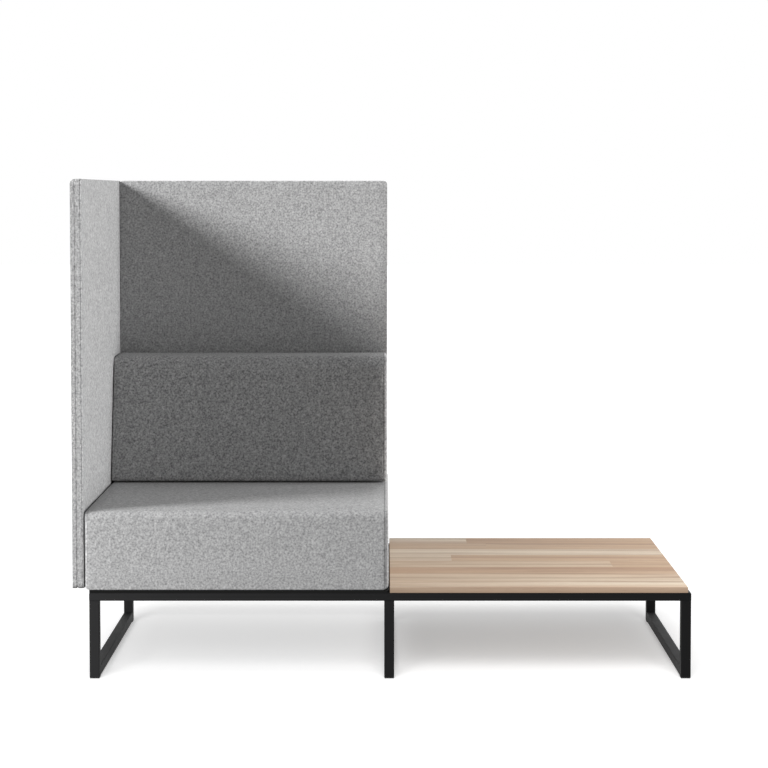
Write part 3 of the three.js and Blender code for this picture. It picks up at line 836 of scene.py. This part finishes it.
def add_panel(name, node, across, outside):
    """A padded panel that is thin along one axis, with its outer face on the signed side."""
    low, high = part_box(node)

    def rounding(signs):
        if signs[across] == 0:
            return PANEL_CORNER_ROUND
        if signs[2] < 0:
            return PANEL_FOOT_ROUND
        if signs[across] != outside:
            return PANEL_INNER_ROUND
        return PANEL_OUTER_ROUND if signs[2] == 0 else PANEL_TOP_ROUND

    panel = rounded_block(name, low, high, rounding, segments=PANEL_ROUND_SEGMENTS)
    cut_cells(panel, [axis for axis in range(3) if axis != across], low, high, PANEL_CELL)
    outer_face = high[across] if outside > 0 else low[across]
    for place, depth, half_width in PANEL_SEAMS:
        sew_seam(panel, across, outer_face - outside * place, depth, half_width)
    bpy.ops.object.shade_smooth_by_angle(angle=SEAM_CREASE)
    dress(panel, panel_felt, node)
    return panel


side_panel = add_panel("side_panel_felt", "side_panel_cover", 0, -1)
back_panel = add_panel("back_panel_felt", "back_panel_cover", 1, 1)

# The table top: one flat board glued from light ash staves that run along the unit, with
# their ends butted here and there, eased edges and a matte lacquer.
STAVE_COUNT = 8
TABLE_EASED_EDGE = 0.0012
TABLE_ROUND_SEGMENTS = 3
TABLE_CREASE = math.radians(40)
ASH_PALE = (0.61, 0.515, 0.40)
ASH_WARM = (0.46, 0.325, 0.215)
ASH_HEART = (0.36, 0.215, 0.13)
ASH_RING = (0.21, 0.13, 0.085)
ASH_PORE = (0.18, 0.115, 0.075)
ASH_ROUGHNESS = (0.5, 0.2)
ASH_GLOSS = 0.35
ASH_RELIEF = (0.0003, 0.35)
CHANCE_START = 0.31
JOINT_PLACE_DRAW = 1.37
JOINT_DRAW = 2.11
JOINT_LEVEL = 0.55
TONE_DRAW = 0.47
TONE_BAND = (0.25, 0.75)
GRAIN_MOVE = Vector((3.1, 1.7, 0.9))
HEART = (1, 2, 0.5)
HEART_STRETCH = (0.5, 9, 9)
HEART_BAND = (0.42, 0.68)
HEART_SHARE = 0.75
FIGURE = (1, 3, 0.5)
FIGURE_STRETCH = (0.9, 14, 14)
RING_TURNS = 26
RING_BAND = (-0.2, 1.0)
RING_SHARE = 0.18
STREAKS = (1, 4, 0.6)
STREAK_STRETCH = (0.9, 32, 32)
STREAK_BAND = (0.5, 0.7)
STREAK_SHARE = 0.6
PORES = (1, 4, 0.65)
PORE_STRETCH = (26, 700, 700)
PORE_BAND = (0.52, 0.72)
PORE_SHARE = 0.35
PORE_RELIEF_SHARE = 0.5
STAVE_MIDDLE = 0.5
GLUE_BAND = (0.488, 0.5)
GLUE_SHARE = 0.4


def ash_board(low, high):
    ash = new_finish("glued_ash_board")
    place = ash.place()
    x, y, z = (ash.node("SeparateXYZ", {}, {0: place}, axis) for axis in "XYZ")

    def chance(seed, factor):
        values = {"W": seed * factor + CHANCE_START}
        return ash.node("TexWhiteNoise", {"noise_dimensions": "1D"}, values)

    across = (y - low.y) / ((high.y - low.y) / STAVE_COUNT)
    row = across.floor()
    joint_place = chance(row, JOINT_PLACE_DRAW) * (high.x - low.x) + low.x
    has_joint = chance(row, JOINT_DRAW).above(JOINT_LEVEL)
    piece = row * 2 + (x - joint_place).above(0.0) * has_joint
    tone = chance(piece, TONE_DRAW)
    moved = {
        "X": x + tone * GRAIN_MOVE.x,
        "Y": y + tone * GRAIN_MOVE.y,
        "Z": z + tone * GRAIN_MOVE.z,
    }
    grain_place = ash.node("CombineXYZ", {}, moved)
    heart = ash.noise(ash.stretched(grain_place, HEART_STRETCH), *HEART)
    figure = ash.noise(ash.stretched(grain_place, FIGURE_STRETCH), *FIGURE)
    rings = (figure * RING_TURNS).wave().between(*RING_BAND)
    streaks = ash.noise(ash.stretched(grain_place, STREAK_STRETCH), *STREAKS)
    pores = ash.noise(ash.stretched(grain_place, PORE_STRETCH), *PORES)
    base = ash.blend(tone.between(*TONE_BAND), ASH_PALE, ASH_WARM)
    shaded_base = ash.blend(heart.between(*HEART_BAND) * HEART_SHARE, base, ASH_HEART)
    lines = rings * RING_SHARE + streaks.between(*STREAK_BAND) * STREAK_SHARE
    banded = ash.blend(lines, shaded_base, ASH_RING)
    colour = ash.blend(pores.between(*PORE_BAND) * PORE_SHARE, banded, ASH_PORE)
    glue_line = (across.fraction() - STAVE_MIDDLE).size().between(*GLUE_BAND)
    return ash.surface(
        {
            "Base Color": ash.blend(glue_line * GLUE_SHARE, colour, ASH_PORE),
            "Roughness": pores.rising(*ASH_ROUGHNESS),
            "Specular IOR Level": ASH_GLOSS,
            "Normal": ash.bump(pores * PORE_RELIEF_SHARE - glue_line, *ASH_RELIEF),
        }
    )


table_low, table_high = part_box("table_top")
table = rounded_block(
    "table_board",
    table_low,
    table_high,
    lambda signs: TABLE_EASED_EDGE,
    segments=TABLE_ROUND_SEGMENTS,
)
bpy.ops.object.shade_smooth_by_angle(angle=TABLE_CREASE)
dress(table, ash_board(table_low, table_high), "table_top")

# Which lamp lights what. The sun leaves out the floor and the table, where the side panel would
# throw a long shadow, that panel's own outer face and the steel. Other lamps take its place.
meshes = [piece for piece in scene.objects if piece.type == "MESH"]
steel = [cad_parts[name] for name in TOP_FRAME + LEG_LOOPS]
base_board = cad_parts["seat_base_board"]


def all_but(*kept):
    return [piece for piece in meshes if piece not in kept]


leave_out(sun, [floor, table, side_panel, seat, *steel], "receiver")
leave_out(seat_sun, all_but(seat), "receiver")
leave_out(left_lamp, all_but(seat), "receiver")
leave_out(leg_lamp, all_but(*steel), "receiver")
leave_out(right_lamp, [floor, side_panel], "receiver")
leave_out(panel_lamp, all_but(side_panel), "receiver")
leave_out(rear_fill, [floor, table], "receiver")
leave_out(front_light, all_but(side_panel), "receiver")
leave_out(table_lamp, all_but(table), "receiver")
leave_out(floor_light, all_but(floor), "receiver")
leave_out(floor_light, all_but(*steel, base_board, table, floor), "blocker")
leave_out(floor_fill, all_but(floor), "receiver")
leave_out(floor_fill, all_but(*steel, table, floor), "blocker")
